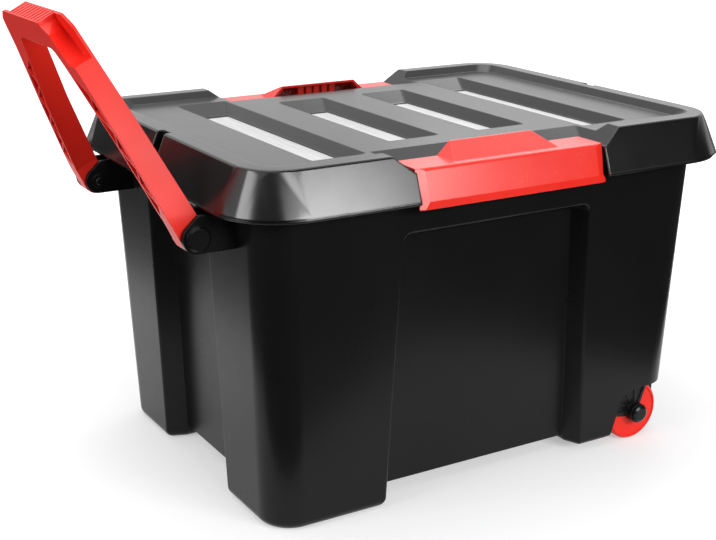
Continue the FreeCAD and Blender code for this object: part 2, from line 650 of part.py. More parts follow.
# Tub rim and hinge ears
RIM_LONG = HALF_LONG + " + rim_out"
RIM_WIDE = HALF_WIDE + " + rim_out"
rim_block = drafted("rim_block", ("tub_height - rim_thick", "tub_height"), RIM_LONG, RIM_WIDE)
rim_flange = rounded("rim_flange", rim_block, (upright, size("corner_radius") + size("rim_out")))
rim_trim = box("rim_trim", ("-notch_half - 2", "notch_half + 2"), ("-base_width", "-shelf_outer"),
               ("tub_height - rim_thick - 1", "tub_height + 1"))
EAR_ROOT = "-(base_width / 2 + wall_slope * hinge_height - wall / 2)"
ears = []
for number, side in enumerate(("-1", "1")):
    for offset in ("-(barrel_length / 2 + ear_gap + ear_thick)", "barrel_length / 2 + ear_gap"):
        start = "%s * barrel_place + %s" % (side, offset)
        along = (start, start + " + ear_thick")
        label = "ear_%d_%d" % (number, len(ears))
        ears.append(box(label + "_arm", along, ("-hinge_out", EAR_ROOT),
                        ("hinge_height - ear_radius", "hinge_height + ear_radius")))
        ears.append(cylinder(label + "_eye", "X", "ear_radius", ("-hinge_out", "hinge_height"), along))
rim_notch = box("rim_notch", ("-base_length", "-tub_end"),
                ("-end_notch_half - wall - 1", "end_notch_half + wall + 1"),
                ("tub_height - rim_thick - 1", "tub_height + 1"))
rod_hole = cylinder("rod_hole", "X", "rod_radius + run_gap", ("-hinge_out", "hinge_height"),
                    ("-rod_half - cut_over", "rod_half + cut_over"))

additions = [body_block, rim_flange]
for source in [fan, boss, inner_boss] + fan_ribs + lugs + ears:
    additions += both(source)
tub_solid = fuse("tub_solid", *additions)
removals = [cut("tub_cavity_clear", cavity, *both(inner_boss)), rim_notch,
            mirrored("rim_notch_right", rim_notch, (1, 0, 0))]
for source in (axle_hole, pin_hole, rod_hole, rim_trim):
    removals += both(source)
tub = cut("tub_shell", tub_solid, *removals)
piece("tub", tub)

# Axles, caps and wheels
AXLE_START = WELL_IN + " - wall - axle_bed"
AXLE_END = BOSS_OUT + " - axle_short"
CAP_START = BOSS_OUT
for label, sign, yaw in (("front", "-1", "180 deg"), ("back", "1", "0 deg")):
    axle = turned("wheel_axle_" + label, [("0", AXLE_START), ("axle_radius", AXLE_START),
                                         ("axle_radius", AXLE_END), ("0", AXLE_END)],
                  x="wheel_centre", z="wheel_radius", yaw=yaw)
    piece("wheel_axle_" + label, axle)
    cap = turned("wheel_cap_" + label, [("0", CAP_START), ("cap_radius", CAP_START),
                                       ("cap_radius", CAP_START + " + cap_thick - 2"),
                                       ("cap_radius - 3", CAP_START + " + cap_thick"),
                                       ("0", CAP_START + " + cap_thick")],
                 x="wheel_centre", z="wheel_radius", yaw=yaw)
    piece("wheel_cap_" + label, cap)
    bore = "axle_radius + run_gap"
    web_in = WHEEL_OUT + " - wheel_face - wheel_web"
    web_out = WHEEL_OUT + " - wheel_face"
    rim_in = "wheel_radius - wheel_tread"
    face_in = "wheel_radius - wheel_face_rim"
    shoulder = "wheel_radius - wheel_chamfer"
    wheel = turned("wheel_" + label, [(bore, "wheel_inner"), ("wheel_hub", "wheel_inner"),
                                     ("wheel_hub", web_in), (rim_in, web_in),
                                     (rim_in, "wheel_inner"), (shoulder, "wheel_inner"),
                                     ("wheel_radius", "wheel_inner + wheel_chamfer"),
                                     ("wheel_radius", WHEEL_OUT + " - wheel_chamfer"), (shoulder, WHEEL_OUT),
                                     (face_in, WHEEL_OUT), (face_in, web_out), ("wheel_hub", web_out),
                                     ("wheel_hub", WHEEL_OUT), (bore, WHEEL_OUT)],
                   x="wheel_centre", z="wheel_radius", yaw=yaw)
    piece("wheel_" + label, wheel)

# Handle pins and their washers
PIN_END = INNER_LUG + " - clip_thick - pin_tail"
PIN_BORE = "pin_radius + run_gap"
HEAD = OUTER_LUG + " + lug_thick"
for label, yaw in (("front", "180 deg"), ("back", "0 deg")):
    pin = turned("handle_pin_" + label, [("0", PIN_END), ("pin_radius - 1", PIN_END),
                                        ("pin_radius", PIN_END + " + 1"), ("pin_radius", HEAD),
                                        ("pin_head_radius", HEAD),
                                        ("pin_head_radius", HEAD + " + pin_head_thick - 2"),
                                        ("pin_head_radius - 2.5", HEAD + " + pin_head_thick"),
                                        ("0", HEAD + " + pin_head_thick")],
                 x="-pivot_reach", z="pivot_height", yaw=yaw)
    piece("handle_pin_" + label, pin)
    clip = turned("handle_clip_" + label, [(PIN_BORE, INNER_LUG + " - clip_thick"),
                                          ("clip_radius", INNER_LUG + " - clip_thick"),
                                          ("clip_radius", INNER_LUG), (PIN_BORE, INNER_LUG)],
                  x="-pivot_reach", z="pivot_height", yaw=yaw)
    piece("handle_clip_" + label, clip)

# Lid shell
BAND = "skirt_low + skirt_band"
TOP_HALF = ("lid_length / 2", "lid_width / 2")
LOW_HALF = ("lid_length / 2 + flare_length", "lid_width / 2 + flare_width")


def inset(half, amount):
    return ["%s - (%s)" % (text, amount) for text in half]


def skirt(name, z_low, z_high, amount, low_radius, high_radius):
    low = tapered(name + "_low", (z_low, BAND), inset(LOW_HALF, amount), inset(LOW_HALF, amount))
    slope = ["%s / (lid_top - skirt_low - skirt_band)" % text for text in ("flare_length", "flare_width")]
    tops = ["%s + (lid_top - (%s)) * %s - %s" % (TOP_HALF[i], z_high, slope[i], amount) for i in range(2)]
    high = tapered(name + "_high", (BAND, z_high), inset(LOW_HALF, amount), tops)
    return fuse(name, rounded(name + "_low_round", low, (upright, low_radius)),
                rounded(name + "_high_round", high, (upright, low_radius, high_radius)))


lid_sharp = skirt("lid_sharp", "skirt_low", "lid_top", "0", size("skirt_corner"), size("lid_corner"))
lid_inner = skirt("lid_inner", "skirt_low - 1", "lid_top - wall", "wall",
                  size("skirt_corner") - size("wall"), size("lid_corner") - size("wall"))
lid_outer = rounded("lid_outer", lid_sharp, (level(size("lid_top")), size("lid_edge")))
bead_half = inset(LOW_HALF, "-bead_out")
bead_block = tapered("bead_block", ("skirt_low", "skirt_low + bead_height"), bead_half, bead_half)
bead = rounded("bead", bead_block, (upright, size("skirt_corner") + size("bead_out")))

RISE = "(lid_top - slat_level)"
WELL_TOP = inset(TOP_HALF, "rim_width")
WELL_LOW = inset(TOP_HALF, "rim_width + " + RISE)
panel_low = inset(WELL_LOW, "-4 + wall")
panel_high = inset(WELL_TOP, "-5")
panel_block = tapered("panel_block", ("slat_level - wall", "lid_top + 1"), panel_low, panel_high)
panel = rounded("panel", panel_block, (upright, size("lid_corner") - size("rim_width") + 4))
top_block = tapered("top_well_block", ("slat_level", "lid_top + 1"), WELL_LOW, inset(WELL_TOP, "-1"))
top_well = rounded("top_well", top_block, (upright, size("lid_corner") - size("rim_width")))
lid_cavity = cut("lid_cavity", lid_inner, panel)
lid_shell = cut("lid_shell", fuse("lid_skin", lid_outer, bead), lid_cavity)

# Grooves and windows
FLOOR = "(slat_level - groove_depth)"
troughs = []
grooves = []
windows = []
GROOVES = [("-1.5", "outer_window_half"), ("-0.5", "inner_window_half"),
           ("0.5", "inner_window_half"), ("1.5", "outer_window_half")]
for number, (place_x, half) in enumerate(GROOVES, start=1):
    centre = "%s * slat_pitch" % place_x
    low = ("groove_floor / 2", "%s + groove_margin" % half)
    high = ("groove_floor / 2 + groove_depth", "%s + groove_margin + groove_run" % half)
    over = ("%s + 1" % high[0], "%s + groove_run / groove_depth" % high[1])
    groove_block = tapered("groove_%d_block" % number, (FLOOR, "slat_level + 1"), low, over, centre)
    grooves.append(rounded("groove_%d" % number, groove_block, (slanted, size("groove_corner"))))
    low_skin = ("%s + 1.5" % low[0], "%s + 2" % low[1])
    high_skin = ("%s + 1.5" % high[0], "%s + 2" % high[1])
    troughs.append(tapered("trough_%d" % number, (FLOOR + " - wall", "slat_level - wall + 0.5"),
                           low_skin, high_skin, centre))
    hole = ("window_width / 2", half)
    windows.append(tapered("window_hole_%d" % number, (FLOOR + " - wall - 1", FLOOR + " + 1"),
                           hole, hole, centre))
    pane = inset(hole, "fit_gap")
    flange = inset(hole, "-window_flange")
    plate = tapered("pane_%d" % number, (FLOOR + " - wall", FLOOR + " - wall + window_thick"),
                    pane, pane, centre)
    foot = tapered("pane_foot_%d" % number, (FLOOR + " - wall - flange_thick", FLOOR + " - wall"),
                   flange, flange, centre)
    piece("lid_window_%d" % number, fuse("window_%d" % number, plate, foot))

# Rim dips and latch seats
OUT = "-lid_width"
dip_high = "lid_top + 1"
dip_low_limits = ("-dip_half", "dip_half", OUT, "-dip_inner")
lift = "(%s - dip_level)" % dip_high
dip_high_limits = ("-(dip_half + dip_lean * %s)" % lift, "dip_half + dip_lean * %s" % lift, OUT,
                   "-dip_inner + dip_rise * %s" % lift)
dip = wedge("dip", ("dip_level", dip_high), dip_low_limits, dip_high_limits)
skin_low = "dip_level - wall"
skin_high = "lid_top - wall"
skin_lift = "(lid_top - dip_level)"
skin_low_limits = ("-dip_half - 1", "dip_half + 1", OUT, "-dip_inner + 2")
skin_high_limits = ("-(dip_half + 1 + dip_lean * %s)" % skin_lift, "dip_half + 1 + dip_lean * %s" % skin_lift,
                    OUT, "-dip_inner + 2 + dip_rise * %s" % skin_lift)
dip_skin_block = wedge("dip_skin_block", (skin_low, skin_high), skin_low_limits, skin_high_limits)
dip_skin = common("dip_skin", dip_skin_block, lid_outer)
seat_box = box("latch_seat", ("-notch_half - wall", "notch_half + wall"),
               ("-shelf_outer", "-ridge_outer + wall"), ("shelf_level - wall", "dip_level"))
seat_cut = box("latch_seat_cut", ("-notch_half", "notch_half"), (OUT, "-ridge_outer"),
               ("shelf_level", "lid_top + 1"))
skirt_cut = box("latch_skirt_cut", ("-notch_half", "notch_half"), (OUT, "-shelf_outer"),
                ("skirt_low - 2", "lid_top + 1"))

# Seat ring that stands on the tub rim
SEAT_LONG = "tub_end + seat_inner"
SEAT_WIDE = "tub_side + seat_inner"
ring_half = ("%s + seat_thick" % SEAT_LONG, "%s + seat_thick" % SEAT_WIDE)
ring_out = tapered("seat_ring_out", ("tub_height", "lid_top - 2"), ring_half, ring_half)
ring_in_high = tapered("seat_ring_core", ("tub_height - 1", "lid_top"), (SEAT_LONG, SEAT_WIDE),
                       (SEAT_LONG, SEAT_WIDE))
ring_outside = rounded("seat_ring_round", ring_out, (upright, size("corner_radius") + size("seat_thick")))
ring_inside = rounded("seat_ring_core_round", ring_in_high, (upright, size("corner_radius")))
ring_tube = cut("seat_ring_tube", ring_outside, ring_inside)
ring = common("seat_ring", ring_tube, lid_outer)

# End notches
NOTCH_FACE = "-(lid_length / 2 - end_notch_depth)"
notch_skin_block = box("notch_skin_block", ("-lid_length", NOTCH_FACE + " + wall"),
                       ("-end_notch_half - wall", "end_notch_half + wall"),
                       ("end_notch_low - wall", "lid_top - 1"))
notch_skin = common("notch_skin", notch_skin_block, lid_outer)
notch = box("end_notch", ("-lid_length", NOTCH_FACE), ("-end_notch_half", "end_notch_half"),
            ("end_notch_low", "lid_top + 1"))

notch_skin_right = mirrored("notch_skin_right", notch_skin, (1, 0, 0))
lid_solid = fuse("lid_solid", lid_shell, ring, notch_skin, notch_skin_right,
                 *(troughs + both(dip_skin) + both(seat_box)))
lid_cuts = [top_well, notch, mirrored("end_notch_right", notch, (1, 0, 0))] + grooves + windows
lid_cuts += both(dip) + both(seat_cut) + both(skirt_cut)
lid = cut("lid_body", lid_solid, *lid_cuts)
piece("lid", lid)

# Latches
FLANGE_LOW = "dip_level + latch_seat"
FLANGE_TOP = "dip_level + latch_seat + latch_thick"
LEAN = "(latch_low_out - latch_top_out) / (latch_top - latch_low)"
BAND_TOP = "(latch_low + latch_band)"
BAND_OUT = "(latch_low_out - latch_band * %s)" % LEAN
plate_points = [("-latch_low_out + latch_tuck", "latch_low"), (minus(BAND_OUT), BAND_TOP),
                ("-latch_top_out", FLANGE_TOP), ("-dip_inner", FLANGE_TOP), ("-dip_inner", FLANGE_LOW),
                ("-latch_top_out + latch_thick", FLANGE_LOW), (minus(BAND_OUT) + " + latch_thick", BAND_TOP),
                ("-latch_low_out + latch_thick + latch_tuck", "latch_low")]
plate_block = prism("latch_plate_block", "YZ", plate_points, ("-latch_half", "latch_half"))


def latch_edge(across, height):
    """The long edge of a latch at a distance from the middle and a height."""
    def test(edge):
        return all(math.hypot(point.y + across, point.z - height) < 0.01 for point in ends(edge))
    return test


flange_low = size("dip_level") + size("latch_seat")
flange_top = flange_low + size("latch_thick")
plate = rounded("latch_plate", plate_block,
                (latch_edge(size("latch_top_out"), flange_top), size("latch_round")),
                (latch_edge(size("latch_top_out") - size("latch_thick"), flange_low),
                 size("latch_round") - size("latch_thick")))
end_trims = []
for label, side in (("left", "-1"), ("right", "1")):
    facet = [("%s * (latch_half - latch_end)" % side, "-latch_low_out - cut_over"),
             ("%s * (latch_half - latch_end)" % side, "-latch_low_out"),
             ("%s * (latch_half + latch_gap)" % side, "-latch_low_out + latch_end_deep"),
             ("%s * (latch_half + cut_over)" % side, "-latch_low_out - cut_over")]
    if side == "1":
        facet.reverse()
    sheared = outline("latch_facet_%s_low" % label, facet, z="latch_low - 1")
    raised = [(across, "%s + latch_low_out - latch_top_out" % up) for across, up in facet]
    upper = outline("latch_facet_%s_high" % label, raised, z="latch_top + 1")
    end_trims.append(loft("latch_facet_%s" % label, [sheared, upper]))
hood_low = ("-tab_low_half", "tab_low_half", "-dip_inner - tab_lip - tab_run", "-dip_inner")
hood_high = ("-tab_top_half", "tab_top_half", "-dip_inner - tab_lip", "-dip_inner")
hood = wedge("tab_hood", (FLANGE_TOP + " - 1", "tab_top"), hood_low, hood_high)
HOLLOW = "tab_top - latch_thick"
hollow_low = ("-tab_low_half + latch_thick + 1", "tab_low_half - latch_thick - 1",
              "-dip_inner + 1 - tab_run", "-dip_inner + cut_over")
hollow_high = ("-tab_top_half + latch_thick - 1", "tab_top_half - latch_thick + 1",
               "-dip_inner - tab_lip - 1", "-dip_inner + cut_over")
hollow = wedge("tab_hollow", (FLANGE_LOW + " - 1", HOLLOW), hollow_low, hollow_high)
shell = cut("latch_shell", fuse("latch_skin", plate, hood), hollow, *end_trims)
ribs = []
for number in range(-2, 3):
    middle = "%d * rib_pitch" % number
    ribs.append(box("tab_rib_%d" % (number + 3), (middle + " - rib_width / 2", middle + " + rib_width / 2"),
                    ("-dip_inner - 1 - tab_run", "-dip_inner - 2 * tab_lip"), (FLANGE_LOW, HOLLOW + " + 1")))
rib_block = common("tab_rib_block", fuse("tab_ribs", *ribs), hood)
barrels = []
for label, side in (("left", "-1"), ("right", "1")):
    along = ("%s * barrel_place - barrel_length / 2" % side, "%s * barrel_place + barrel_length / 2" % side)
    barrels.append(cylinder("barrel_" + label, "X", "barrel_radius", ("-hinge_out", "hinge_height"), along))
    barrels.append(box("barrel_web_" + label, along, ("-hinge_out - barrel_web_long", "-hinge_out"),
                       ("hinge_height - barrel_web / 2", "hinge_height + barrel_web / 2")))
barrel_hole = cylinder("barrel_hole", "X", "rod_radius + run_gap", ("-hinge_out", "hinge_height"),
                       ("-latch_half", "latch_half"))
front_latch = cut("front_latch_body", fuse("latch_solid", shell, rib_block, *barrels), barrel_hole)
piece("front_latch", front_latch)
piece("back_latch", mirrored("back_latch_body", front_latch, (0, 1, 0)))
rod = cylinder("front_rod", "X", "rod_radius", ("-hinge_out", "hinge_height"), ("-rod_half", "rod_half"))
piece("front_latch_rod", rod)
piece("back_latch_rod", cylinder("back_rod", "X", "rod_radius", ("hinge_out", "hinge_height"),
                                 ("-rod_half", "rod_half")))

# Tow handle, drawn upright about its own axis and then leaned
ARM_OUTER = "arm_inner + arm_thick"
FOOT = "-inner_lug_radius"
half_outline = [("back_half", "handle_length"), ("shoulder_half", "shoulder_height"),
                ("knee_outer", "knee_height"), (ARM_OUTER, "arm_straight"), (ARM_OUTER, FOOT),
                ("arm_inner", FOOT), ("arm_inner", "arm_straight"), ("knee_inner", "knee_height"),
                ("grip_opening", "grip_low")]
handle_points = [(minus(across), up) for across, up in half_outline]
handle_points += list(reversed(half_outline))
blank = prism("handle_blank", "YZ", handle_points, ("-arm_front", "arm_back"))


def arm_foot(edge):
    points = ends(edge)
    return all(abs(point.z + size("inner_lug_radius")) < 0.01 for point in points) and \
        abs(points[1].y - points[0].y) > 0.9 * edge.Length


def handle_corner(across, height):
    """An edge of the handle that runs through its depth, at a distance from the middle and a height."""
    def test(edge):
        points = ends(edge)
        through = abs(points[1].x - points[0].x) > 0.9 * edge.Length
        return through and all(math.hypot(abs(point.y) - across, point.z - height) < 0.01 for point in points)
    return test


grip_corner = handle_corner(size("back_half"), size("handle_length"))
shoulder_corner = handle_corner(size("shoulder_half"), size("shoulder_height"))
opening_corner = handle_corner(size("grip_opening"), size("grip_low"))
handle_round = rounded("handle_round", blank, (arm_foot, size("arm_foot_round")),
                       (grip_corner, size("grip_round")), (shoulder_corner, size("shoulder_round")),
                       (opening_corner, size("opening_round")))
front_slant = prism("handle_front_slant", "XZ",
                    [("-arm_front", "front_slant_low"), ("-arm_front - cut_over", "front_slant_low"),
                     ("-arm_front - cut_over", "handle_length + cut_over"),
                     ("-grip_front", "handle_length + cut_over"),
                     ("-grip_front", "grip_low - front_slant_end")],
                    ("-base_width", "base_width"))


def scoop(label, side, mouth, floor):
    """A shoulder scoop, wide at its mouth and narrower at the plate that closes it."""
    top = "handle_length + cut_over"
    far = "grip_half + scoop_reach"
    wide = [("grip_half", top), ("grip_half", "handle_length - 1"),
            ("grip_half + scoop_mouth_high", "handle_length - scoop_mouth_drop"),
            ("grip_half + scoop_mouth_middle", "grip_low + scoop_bend_rise"),
            ("grip_half + scoop_mouth_low", "scoop_low"), (far, "scoop_low"), (far, top)]
    narrow = [("grip_half - scoop_floor_in", top),
              ("grip_half - scoop_floor_in", "handle_length - scoop_floor_drop"),
              ("grip_half", "grip_low + scoop_floor_rise"),
              ("grip_half + scoop_floor_middle", "grip_low + scoop_bend_rise"),
              ("grip_half + scoop_floor_low", "scoop_low"), (far, "scoop_low"), (far, top)]
    sections = []
    for mark, points, depth in (("mouth", wide, mouth), ("floor", narrow, floor)):
        moved = [("%s * (%s)" % (side, across), up) for across, up in points]
        sections.append(outline("scoop_%s_%s" % (label, mark), moved, x=depth, yaw="90 deg", roll="90 deg"))
    return loft("scoop_" + label, sections)


scoops = [scoop("front", "-1", "-arm_front - cut_over", "arm_back - back_plate"),
          scoop("back", "1", "arm_back + cut_over", "back_plate - grip_front")]
grip_cuts = []
for number in range(-4, 6):
    middle = "%.1f * groove_pitch" % (number - 0.5)
    grip_cuts.append(box("grip_groove_%d" % (number + 5), ("-grip_front + 1.5", "arm_back - 2"),
                         (middle + " - groove_wide / 2", middle + " + groove_wide / 2"),
                         ("handle_length - groove_deep", "handle_length + cut_over")))


def edge_of_arm(height, low, knee, top):
    """Distance of an arm edge from the middle at a height above the pivot."""
    if height < size("knee_height"):
        share = max(0.0, height - size("arm_straight")) / (size("knee_height") - size("arm_straight"))
        return low + share * (knee - low)
    share = (height - size("knee_height")) / (top[1] - size("knee_height"))
    return knee + share * (top[0] - knee)


def zigzag():
    """Triangular cells between the ribs of one arm, as one compound of prisms."""
    spots = []
    pitch = size("cell_pitch")
    count = int((size("scoop_low") - size("cell_wall") - size("cell_low")) / pitch)
    for number in range(count + 1):
        height = size("cell_low") + number * pitch
        inner_edge = edge_of_arm(height, size("arm_inner"), size("knee_inner"),
                                 (size("grip_opening"), size("grip_low"))) + size("cell_wall")
        outer_edge = edge_of_arm(height, size("arm_inner") + size("arm_thick"), size("knee_outer"),
                                 (size("back_half"), size("handle_length"))) - size("cell_wall")
        spots.append((inner_edge, outer_edge, height))
    cells = []
    for number in range(count - 1):
        first, middle, last = spots[number], spots[number + 1], spots[number + 2]
        near, far = (0, 1) if number % 2 == 0 else (1, 0)
        corners = [(first[near], first[2]), (middle[far], middle[2]), (last[near], last[2])]
        lengths = [math.dist(corners[1], corners[2]), math.dist(corners[0], corners[2]),
                   math.dist(corners[0], corners[1])]
        total = sum(lengths)
        heart = [sum(lengths[i] * corners[i][axis] for i in range(3)) / total for axis in range(2)]
        area = abs((corners[1][0] - corners[0][0]) * (corners[2][1] - corners[0][1])
                   - (corners[2][0] - corners[0][0]) * (corners[1][1] - corners[0][1])) / 2
        shrink = 1 - size("cell_rib") / 2 / (2 * area / total)
        for side in (-1, 1):
            loop = []
            for corner in corners:
                across = heart[0] + shrink * (corner[0] - heart[0])
                up = heart[1] + shrink * (corner[1] - heart[1])
                loop.append(FreeCAD.Vector(-size("arm_front") - size("cut_over"), side * across, up))
            face = Part.Face(Part.makePolygon(loop + [loop[0]]))
            depth = size("arm_front") + size("arm_back") - size("back_plate") + size("cut_over")
            cells.append(face.extrude(FreeCAD.Vector(depth, 0, 0)))
    return Part.makeCompound(cells)


cell_block = doc.addObject("Part::Feature", "arm_cells")
cell_block.Shape = zigzag()
arm_bore = cylinder("arm_bore", "Y", "pin_radius + run_gap", ("0", "0"), ("-base_width", "base_width"))
handle_cut = cut("handle_cut", handle_round, front_slant, arm_bore, *(scoops + grip_cuts))
handle = cut("handle_upright", handle_cut, cell_block)
leaned = doc.addObject("Part::Compound", "handle_leaned")
leaned.Links = [handle]
place(leaned, "-pivot_reach", "0", "pivot_height", pitch="-handle_lean * 1 deg")
piece("tow_handle", leaned)

# Checks and export
doc.recompute()
for obj in doc.Objects:
    if "Invalid" in obj.State or "Error" in obj.State:
        raise RuntimeError("object %s is %s" % (obj.Name, obj.State))
os.makedirs("parts", exist_ok=True)
for obj in PIECES:
    shape = obj.Shape
    if shape.isNull() or not shape.isValid():
        raise RuntimeError("piece %s has no valid shape" % obj.Label)
    if len(shape.Solids) != 1:
        raise RuntimeError("piece %s has %d solids" % (obj.Label, len(shape.Solids)))
    shape.exportStep("parts/%s.step" % obj.Label)
    print("%-20s volume %9.1f cm3  %s" % (obj.Label, shape.Volume / 1000, shape.BoundBox))
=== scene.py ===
import json

import bpy
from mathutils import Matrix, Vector

# A wheeled storage box in black and red plastic on a white studio floor, in metres.
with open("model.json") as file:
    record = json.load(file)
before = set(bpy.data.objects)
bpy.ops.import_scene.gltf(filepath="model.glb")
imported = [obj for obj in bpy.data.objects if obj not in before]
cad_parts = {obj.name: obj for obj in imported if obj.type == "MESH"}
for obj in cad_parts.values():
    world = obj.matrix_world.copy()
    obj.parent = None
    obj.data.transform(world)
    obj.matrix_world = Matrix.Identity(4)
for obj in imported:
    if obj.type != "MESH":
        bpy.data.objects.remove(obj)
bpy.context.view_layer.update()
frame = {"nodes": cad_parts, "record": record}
nodes = frame["nodes"]
scene = bpy.context.scene


# Material helpers
NOISE_LOW = 0.3
NOISE_HIGH = 0.7
EDGE_SAMPLES = 12
FACE_TURN = 0.9965
EDGE_TURN = 0.97
MIDDLE = 0.5


def new_material(name):
    material = bpy.data.materials.new(name)
    material.use_nodes = True
    tree = material.node_tree
    tree.nodes.clear()
    output = tree.nodes.new("ShaderNodeOutputMaterial")
    shader = tree.nodes.new("ShaderNodeBsdfPrincipled")
    tree.links.new(shader.outputs["BSDF"], output.inputs["Surface"])
    return material, tree, shader


def noise(tree, scale, detail=3.0, roughness=0.55):
    """Noise in the frame's own metres, so that its scale is the same on every piece."""
    where = tree.nodes.new("ShaderNodeTexCoord")
    texture = tree.nodes.new("ShaderNodeTexNoise")
    texture.inputs["Scale"].default_value = scale
    texture.inputs["Detail"].default_value = detail
    texture.inputs["Roughness"].default_value = roughness
    tree.links.new(where.outputs["Object"], texture.inputs["Vector"])
    return texture


def spread(tree, source, low, high):
    """Map a noise value to a narrow range."""
    mapped = tree.nodes.new("ShaderNodeMapRange")
    mapped.inputs["From Min"].default_value = NOISE_LOW
    mapped.inputs["From Max"].default_value = NOISE_HIGH
    mapped.inputs["To Min"].default_value = low
    mapped.inputs["To Max"].default_value = high
    tree.links.new(source, mapped.inputs["Value"])
    return mapped.outputs["Result"]


def blend(tree, share, first, second):
    """Mix two colours by the noise value of a node."""
    mix = tree.nodes.new("ShaderNodeMix")
    mix.data_type = "RGBA"
    mix.inputs["A"].default_value = (*first, 1.0)
    mix.inputs["B"].default_value = (*second, 1.0)
    tree.links.new(spread(tree, share.outputs["Fac"], 0.0, 1.0), mix.inputs["Factor"])
    return mix.outputs["Result"]


def uneven_roughness(tree, shader, scale, rough, detail=3.0):
    """Roughness that varies a little over the surface."""
    patches = noise(tree, scale, detail)
    low, high = rough
    tree.links.new(spread(tree, patches.outputs["Fac"], low, high), shader.inputs["Roughness"])


def soft_edges(tree, shader, radius, grain_scale, grain_height):
    """Rounded moulding edges and a fine moulded grain.

    The rounded normal is used only where it turns well away from the face's own, which is at an edge."""
    edge = tree.nodes.new("ShaderNodeBevel")
    edge.samples = EDGE_SAMPLES
    edge.inputs["Radius"].default_value = radius
    face = tree.nodes.new("ShaderNodeNewGeometry")
    turn = tree.nodes.new("ShaderNodeVectorMath")
    turn.operation = "DOT_PRODUCT"
    tree.links.new(face.outputs["Normal"], turn.inputs[0])
    tree.links.new(edge.outputs["Normal"], turn.inputs[1])
    share = tree.nodes.new("ShaderNodeMapRange")
    share.interpolation_type = "SMOOTHSTEP"
    share.inputs["From Min"].default_value = FACE_TURN
    share.inputs["From Max"].default_value = EDGE_TURN
    tree.links.new(turn.outputs["Value"], share.inputs["Value"])
    rounded = tree.nodes.new("ShaderNodeMix")
    rounded.data_type = "VECTOR"
    tree.links.new(share.outputs["Result"], rounded.inputs["Factor"])
    tree.links.new(face.outputs["Normal"], rounded.inputs["A"])
    tree.links.new(edge.outputs["Normal"], rounded.inputs["B"])
    grain = noise(tree, grain_scale, detail=2.0)
    bump = tree.nodes.new("ShaderNodeBump")
    bump.inputs["Strength"].default_value = 1.0
    bump.inputs["Distance"].default_value = grain_height
    tree.links.new(grain.outputs["Fac"], bump.inputs["Height"])
    tree.links.new(rounded.outputs["Result"], bump.inputs["Normal"])
    tree.links.new(bump.outputs["Normal"], shader.inputs["Normal"])


def painted_shade_band(tree, axis, margin):
    """One near both ends of a piece along one of its axes and zero between them; it is the mask of the
    painted shade on the window strips.
    """
    where = tree.nodes.new("ShaderNodeTexCoord")
    parts = tree.nodes.new("ShaderNodeSeparateXYZ")
    tree.links.new(where.outputs["Generated"], parts.inputs["Vector"])
    offset = tree.nodes.new("ShaderNodeMath")
    offset.operation = "SUBTRACT"
    offset.inputs[1].default_value = MIDDLE
    tree.links.new(parts.outputs[axis], offset.inputs[0])
    size = tree.nodes.new("ShaderNodeMath")
    size.operation = "ABSOLUTE"
    tree.links.new(offset.outputs["Value"], size.inputs[0])
    past = tree.nodes.new("ShaderNodeMath")
    past.operation = "GREATER_THAN"
    past.inputs[1].default_value = MIDDLE - margin
    tree.links.new(size.outputs["Value"], past.inputs[0])
    return past.outputs["Value"]


# Moulded plastics
DRIFT_SCALE = 9.0
PATCH_SCALE = 30.0
GRAIN_SCALE = 700.0
BLACK = ((0.0050, 0.0050, 0.0054), (0.0064, 0.0064, 0.0069))
TRIM_BLACK = ((0.0046, 0.0046, 0.0050), (0.0060, 0.0060, 0.0064))
RED = ((0.86, 0.022, 0.012), (0.91, 0.028, 0.016))


def moulded(name, tones, rough, edge_radius, grain_height, specular):
    """Injection moulded plastic: two close tones, satin grain and soft edges."""
    material, tree, shader = new_material(name)
    dark_tone, light_tone = tones
    drift = noise(tree, DRIFT_SCALE, detail=2.0)
    tree.links.new(blend(tree, drift, dark_tone, light_tone), shader.inputs["Base Color"])
    shader.inputs["Specular IOR Level"].default_value = specular
    uneven_roughness(tree, shader, PATCH_SCALE, rough)
    soft_edges(tree, shader, edge_radius, GRAIN_SCALE, grain_height)
    return material


# Window strips
STREAK_STRETCH = (260.0, 14.0, 40.0)
STREAK_DETAIL = 4.0
MILKY_TONES = ((0.76, 0.76, 0.77), (0.93, 0.93, 0.94))
# Painted shade round the window's edges, and its widths as shares of the strip's width and length.
PAINTED_GAP_SHADE = (0.003, 0.003, 0.003)
SIDE_SHADE_MARGIN = 0.1
END_SHADE_MARGIN = 0.03
MILKY_SUBSURFACE = 0.12
MILKY_DEPTH = 0.002
MILKY_PATCH_SCALE = 60.0
MILKY_ROUGH = (0.28, 0.4)
MILKY_EDGE = 0.0006
MILKY_GRAIN_SCALE = 900.0
MILKY_GRAIN = 0.00004


